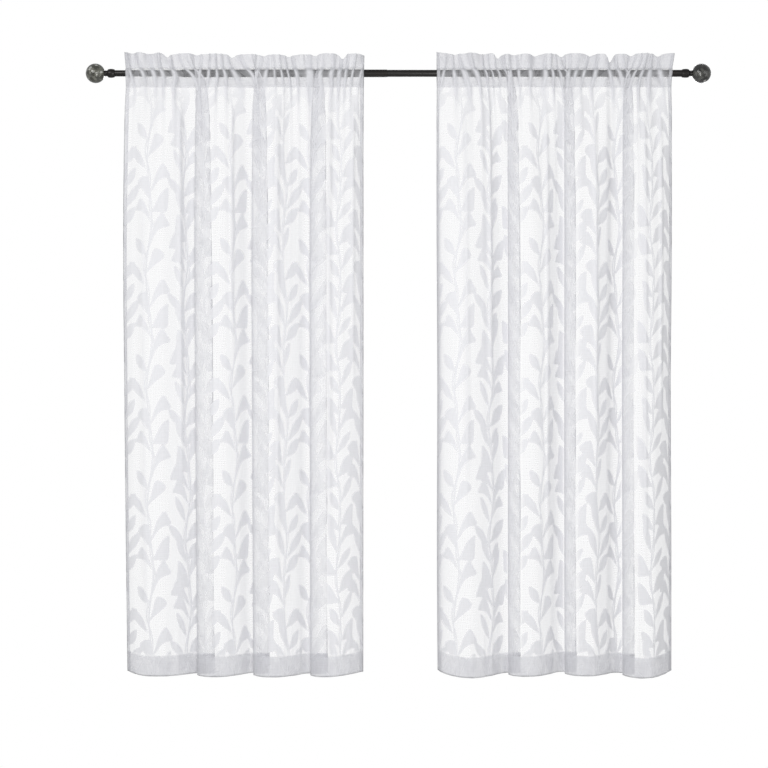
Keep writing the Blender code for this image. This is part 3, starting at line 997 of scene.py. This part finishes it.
def dark_bronze():
    """Oil-rubbed bronze paint: nearly black, with faint warmer rubbing and a fine orange peel."""
    made = Nodes("dark_bronze")
    place = made.add("ShaderNodeTexCoord").outputs["Object"]
    rubbed = made.ramp(made.noise(place, 9.0, 4.0, (0.35, 1.0, 1.0)), 0.50, 0.72)
    speck = made.noise(place, 420.0, 2.0)
    made.fill(made.shader, {
        "Base Color": made.colour(rubbed, (0.016, 0.014, 0.013), (0.036, 0.027, 0.021)),
        "Roughness": made.mix(speck, 0.34, 0.50),
        "Metallic": 0.55,
        "Coat Weight": 0.25,
        "Coat Roughness": 0.25,
    })
    made.bump(speck, 0.00012, 0.4)
    return made.material


# The glass's dark and light tones, and a painted glint: a near-white colour that stands in for reflected
# light.
Glass = namedtuple("Glass", "dark light glint")
GLASSES = {
    "left": Glass((0.060, 0.060, 0.045), (0.190, 0.190, 0.155), (0.70, 0.70, 0.66)),
    "right": Glass((0.022, 0.022, 0.020), (0.100, 0.100, 0.088), (0.60, 0.60, 0.57)),
}
CRACK_COLOUR = (0.020, 0.020, 0.018)


def crackled_glass(side):
    """Crackled glass over a dark lining: pale cell faces, dark cracks, mottled depth and painted glints,
    a near-white colour on the palest cells that stands in for reflected light.
    """
    glass = GLASSES[side]
    made = Nodes(f"crackled_glass_{side}")
    place = made.add("ShaderNodeTexCoord").outputs["Object"]
    crack = made.attribute("crack")
    cell = made.attribute("cell")
    mottle = made.noise(place, 95.0, 3.0)
    tone = made.math("ADD", made.math("MULTIPLY", cell, 0.6), made.math("MULTIPLY", mottle, 0.4))
    colour = made.colour(made.ramp(tone, 0.25, 0.75), glass.dark, glass.light)
    # Painted glints: the palest cells are mixed towards the near-white glint colour, a painted
    # reflection of light rather than the glass's own colour.
    colour = made.colour(made.math("MULTIPLY", made.ramp(cell, 0.90, 0.96), 0.8), colour, glass.glint)
    made.fill(made.shader, {
        "Base Color": made.colour(made.math("MULTIPLY", crack, 0.45), colour, CRACK_COLOUR),
        "Roughness": made.mix(mottle, 0.10, 0.34),
        "Metallic": 0.15,
        "Coat Weight": 1.0,
        "Coat Roughness": 0.04,
    })
    made.bump(mottle, 0.0006, 0.5)
    return made.material


# Rod and finials.


def stand_for(piece, node):
    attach(piece, BODY)
    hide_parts(node)


def turned_piece(name, node, profile, metal, centre=0.0, closed=True, towards=1.0):
    """A profile of (radius, place along X) points turned about the rod's centre line."""
    mesh = bpy.data.meshes.new(name)
    points = [(radius, 0.0, along) for radius, along in profile]
    edges = [(index, index + 1) for index in range(len(points) - 1)]
    if closed:
        edges.append((len(points) - 1, 0))
    mesh.from_pydata(points, edges, [])
    mesh.materials.append(metal)
    piece = new_object(name, mesh)
    lathe = piece.modifiers.new("turned", "SCREW")
    lathe.steps = TURNED_STEPS
    lathe.render_steps = TURNED_STEPS
    lathe.use_merge_vertices = True
    lathe.merge_threshold = MERGE_WITHIN
    rounding = piece.modifiers.new("eased edges", "BEVEL")
    rounding.width = EASED_EDGE
    rounding.segments = 2
    rounding.limit_method = "ANGLE"
    piece.location = (centre, 0.0, 0.0)
    piece.rotation_euler = (0.0, towards * math.pi / 2, 0.0)
    bpy.context.view_layer.update()
    evaluated = piece.evaluated_get(bpy.context.evaluated_depsgraph_get())
    final = bpy.data.meshes.new_from_object(evaluated)
    final.shade_smooth()
    final.set_sharp_from_angle(angle=SHARP_FROM)
    piece.modifiers.clear()
    piece.data = final
    stand_for(piece, node)


def make_tube(end, metal):
    half = (ROD_HALF_LENGTH - end.towards * end.inner) / 2
    bore = end.radius - TUBE_WALL
    profile = [(end.radius, half), (end.radius, -half), (bore, -half), (bore, half)]
    middle = (end.towards * ROD_HALF_LENGTH + end.inner) / 2
    turned_piece(f"{end.side}_tube", f"rod_tube_{end.side}", profile, metal, centre=middle)


def make_sleeve(metal):
    half = (SLEEVE_RIGHT - SLEEVE_LEFT) / 2
    drawn = LEFT_TUBE_RADIUS + GAP
    bore = SLEEVE_RADIUS - TUBE_WALL
    profile = [
        (SLEEVE_RADIUS, half),
        (SLEEVE_RADIUS, SLEEVE_TAPER - half),
        (drawn + TUBE_WALL, -half),
        (drawn, -half),
        (bore, SLEEVE_TAPER - half),
        (bore, half),
    ]
    turned_piece("sleeve", "rod_sleeve", profile, metal, centre=(SLEEVE_LEFT + SLEEVE_RIGHT) / 2)


def make_collar(end, metal):
    """A swelling collar pushed over the rod's end, with a waisted neck for the ball."""
    bore = end.radius + GAP
    neck_end = BALL_FLAT - GAP
    socket = ROD_HALF_LENGTH + GAP
    profile = [(0.0, neck_end), (NECK_RADIUS, neck_end)]
    for step in range(1, NECK_STEPS + 1):
        share = step / NECK_STEPS
        waist = NECK_RADIUS - COLLAR_WAIST * math.sin(math.pi * share)
        profile.append((waist, neck_end + (COLLAR_SHOULDER - neck_end) * share))
    for step in range(1, SWELL_STEPS + 1):
        share = step / SWELL_STEPS
        angle = math.pi * (COLLAR_SWELL_START + (1.0 - COLLAR_SWELL_START) * share)
        swell = math.sin(angle) ** COLLAR_FULLNESS if share < 1 else 0.0
        start = NECK_RADIUS + (bore + COLLAR_LIP - NECK_RADIUS) * share
        place = COLLAR_SHOULDER + (COLLAR_MOUTH - COLLAR_SHOULDER) * share
        profile.append((start + (COLLAR_RADIUS - start) * swell, place))
    profile += [(bore, COLLAR_MOUTH), (bore, socket), (0.0, socket)]
    name = f"finial_collar_{end.side}"
    turned_piece(name, f"collar_{end.side}", profile, metal, closed=False, towards=end.towards)


def sphere_seeds(seed):
    """Uneven places over a ball, for the cells of the crackled glass."""
    shaken = np.random.default_rng(seed)
    polar_shift, turn_shift = CELL_SHIFTS
    index = np.arange(GLASS_CELLS) + 0.5
    polar = np.arccos(1.0 - 2.0 * index / GLASS_CELLS)
    polar += shaken.normal(0.0, polar_shift, GLASS_CELLS)
    turn = math.pi * (1.0 + math.sqrt(5.0)) * index
    turn += shaken.normal(0.0, turn_shift, GLASS_CELLS)
    across = np.sin(polar)
    return np.column_stack([across * np.cos(turn), across * np.sin(turn), np.cos(polar)])


def make_ball(end):
    """A glass ball on the collar's neck, with shallow cracks between its cells."""
    create = bmesh.ops.create_icosphere
    name = f"finial_ball_{end.side}"
    mesh = shaped_mesh(name, create, subdivisions=BALL_SUBDIVISIONS, radius=1.0)
    places = vertex_places(mesh).astype(float)
    places /= np.linalg.norm(places, axis=1)[:, None]
    closeness = places @ sphere_seeds(end.seed).T
    order = np.argsort(-closeness, axis=1)
    nearest = np.take_along_axis(closeness, order[:, :2], axis=1)
    apart = np.arccos(np.clip(nearest[:, 1], -1, 1)) - np.arccos(np.clip(nearest[:, 0], -1, 1))
    crack = 1.0 - smooth_step(apart / CRACK_WIDTH)
    tones = np.random.default_rng(end.seed + 1).random(GLASS_CELLS)
    radius = BALL_RADIUS - CRACK_DEPTH * crack
    placed = places * radius[:, None]
    placed[:, 0] += end.towards * BALL_CENTRE
    placed[:, 0] = end.towards * np.maximum(placed[:, 0] * end.towards, BALL_FLAT)
    set_places(mesh, placed)
    add_field(mesh, "crack", crack)
    add_field(mesh, "cell", tones[order[:, 0]])
    piece = smooth_object(mesh, crackled_glass(end.side))
    stand_for(piece, f"ball_{end.side}")


def make_rod():
    metal = dark_bronze()
    for end in ENDS:
        make_tube(end, metal)
    make_sleeve(metal)
    for end in ENDS:
        make_collar(end, metal)
    for end in ENDS:
        make_ball(end)


def place_in(rising, value):
    """Where a value falls between the entries of a rising list, as a fractional index."""
    return float(np.interp(value, rising, range(len(rising))))


def seam_lines(panel, points):
    """The stitches of a panel's seams: two across the pocket, the hem's and the side hems'."""
    depths = -row_heights()
    columns = cloth_columns()
    first = place_in(columns, IN_FROM_SEAM)
    last = place_in(columns, CLOTH_WIDTH - IN_FROM_SEAM)
    lines = []
    for height in (upper_seam(panel), LOWER_SEAM + IN_FROM_SEAM, HEM_TOP - IN_FROM_HEM):
        row = place_in(depths, -height)
        lines.append(stitch_line(points, (row, first), (row, last)))
    side_hem = SIDE_HEM - IN_FROM_SIDE_HEM
    for across in (side_hem, CLOTH_WIDTH - side_hem):
        column = place_in(columns, across)
        lines.append(stitch_line(points, (0.5, column), (len(depths) - 1.5, column)))
    return lines


def make_panel(panel, cloth, sewing):
    front, points, flat = hanging_sheet(panel, cloth)
    back = turned_heading(panel, cloth)
    sewn = stitches(f"stitching_{panel.side}", seam_lines(panel, points), sewing)
    stand_for(front, f"curtain_{panel.side}")
    stand_for(back, f"heading_{panel.side}")
    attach(sewn, BODY)


# Stage, in metres.

CAMERA_DISTANCE = 4.5
CAMERA_ACROSS = -0.037
CAMERA_HEIGHT = -0.799
METRES_PER_PIXEL = 0.002572
PICTURE_SIDE = 768
FLOOR_HEIGHT = -2.36
FLOOR_RADIUS = 2.4
FLOOR_FADE_START = 0.35 * FLOOR_RADIUS


def make_camera():
    data = bpy.data.cameras.new("camera")
    data.sensor_width = 36.0
    data.lens = data.sensor_width * CAMERA_DISTANCE / (METRES_PER_PIXEL * PICTURE_SIDE)
    camera = new_object("camera", data)
    camera.location = (CAMERA_ACROSS, -CAMERA_DISTANCE, CAMERA_HEIGHT)
    camera.rotation_euler = (math.pi / 2, 0.0, 0.0)
    bpy.context.scene.camera = camera


# An area light: its place, its width and height, and its power in watts. All aim at the middle.
Lamp = namedtuple("Lamp", "name place width height power")
MIDDLE = (0.0, 0.0, -0.75)
LAMPS = [
    Lamp("key", (-2.0, -2.9, 0.9), 1.0, 1.0, 31.0),
    Lamp("fill", (2.4, -3.0, 0.2), 1.4, 1.4, 10.0),
    Lamp("side_left", (-2.4, -0.9, -0.6), 0.7, 1.8, 4.5),
    Lamp("side_right", (2.2, -0.9, -0.6), 0.7, 1.8, 4.5),
    Lamp("middle", (0.0, -1.9, -0.7), 0.5, 1.5, 12.5),
    Lamp("behind", (0.8, 3.2, 0.3), 1.8, 1.8, 44.0),
]


def make_lamp(lamp):
    data = bpy.data.lights.new(lamp.name, "AREA")
    data.shape = "RECTANGLE"
    data.size = lamp.width
    data.size_y = lamp.height
    data.energy = lamp.power
    light = new_object(lamp.name, data)
    light.location = lamp.place
    aim = Vector(MIDDLE) - Vector(lamp.place)
    light.rotation_euler = aim.to_track_quat("-Z", "Y").to_euler()


def make_floor():
    """A pale round floor far below the hem, its rim faded into the backdrop."""
    create = bmesh.ops.create_circle
    mesh = shaped_mesh("floor", create, cap_ends=True, segments=96, radius=FLOOR_RADIUS)
    floor = new_object("floor", mesh)
    floor.location = (0.0, 0.0, FLOOR_HEIGHT)
    made = Nodes("pale_floor")
    place = made.add("ShaderNodeTexCoord").outputs["Object"]
    reach = made.add("ShaderNodeVectorMath", operation="LENGTH")
    made.feed(reach.inputs[0], place)
    grain = made.noise(place, 3.0, 4.0)
    made.fill(made.shader, {
        "Base Color": made.colour(grain, (0.80, 0.80, 0.80), (0.88, 0.88, 0.88)),
        "Roughness": 0.9,
        "Alpha": made.ramp(reach.outputs["Value"], FLOOR_FADE_START, FLOOR_RADIUS, 1.0, 0.0),
    })
    mesh.materials.append(made.material)


BACKDROP_COLOUR = (1.0, 1.0, 1.0, 1.0)
BACKDROP_LEVEL = 1.00
STUDIO_COLOUR = (0.97, 0.98, 1.0, 1.0)
STUDIO_LEVEL = 0.35


def make_world():
    """A plain pale backdrop, and a dimmer studio all round that lights the pieces."""
    world = bpy.data.worlds.new("studio")
    bpy.context.scene.world = world
    world.use_nodes = True
    nodes = world.node_tree.nodes
    link = world.node_tree.links.new
    backdrop = nodes["Background"]
    backdrop.inputs["Color"].default_value = BACKDROP_COLOUR
    backdrop.inputs["Strength"].default_value = BACKDROP_LEVEL
    studio = nodes.new("ShaderNodeBackground")
    studio.inputs["Color"].default_value = STUDIO_COLOUR
    studio.inputs["Strength"].default_value = STUDIO_LEVEL
    chosen = nodes.new("ShaderNodeMixShader")
    seen = nodes.new("ShaderNodeLightPath")
    link(seen.outputs["Is Camera Ray"], chosen.inputs["Fac"])
    link(studio.outputs[0], chosen.inputs[1])
    link(backdrop.outputs[0], chosen.inputs[2])
    link(chosen.outputs[0], nodes["World Output"].inputs["Surface"])


def make_stage():
    scene = bpy.context.scene
    scene.view_settings.view_transform = "Standard"
    scene.cycles.transparent_max_bounces = 48
    make_camera()
    make_floor()
    make_world()
    for lamp in LAMPS:
        make_lamp(lamp)


def main():
    make_stage()
    make_rod()
    cloth = voile()
    sewing = thread()
    for panel in (LEFT, RIGHT):
        make_panel(panel, cloth, sewing)


main()
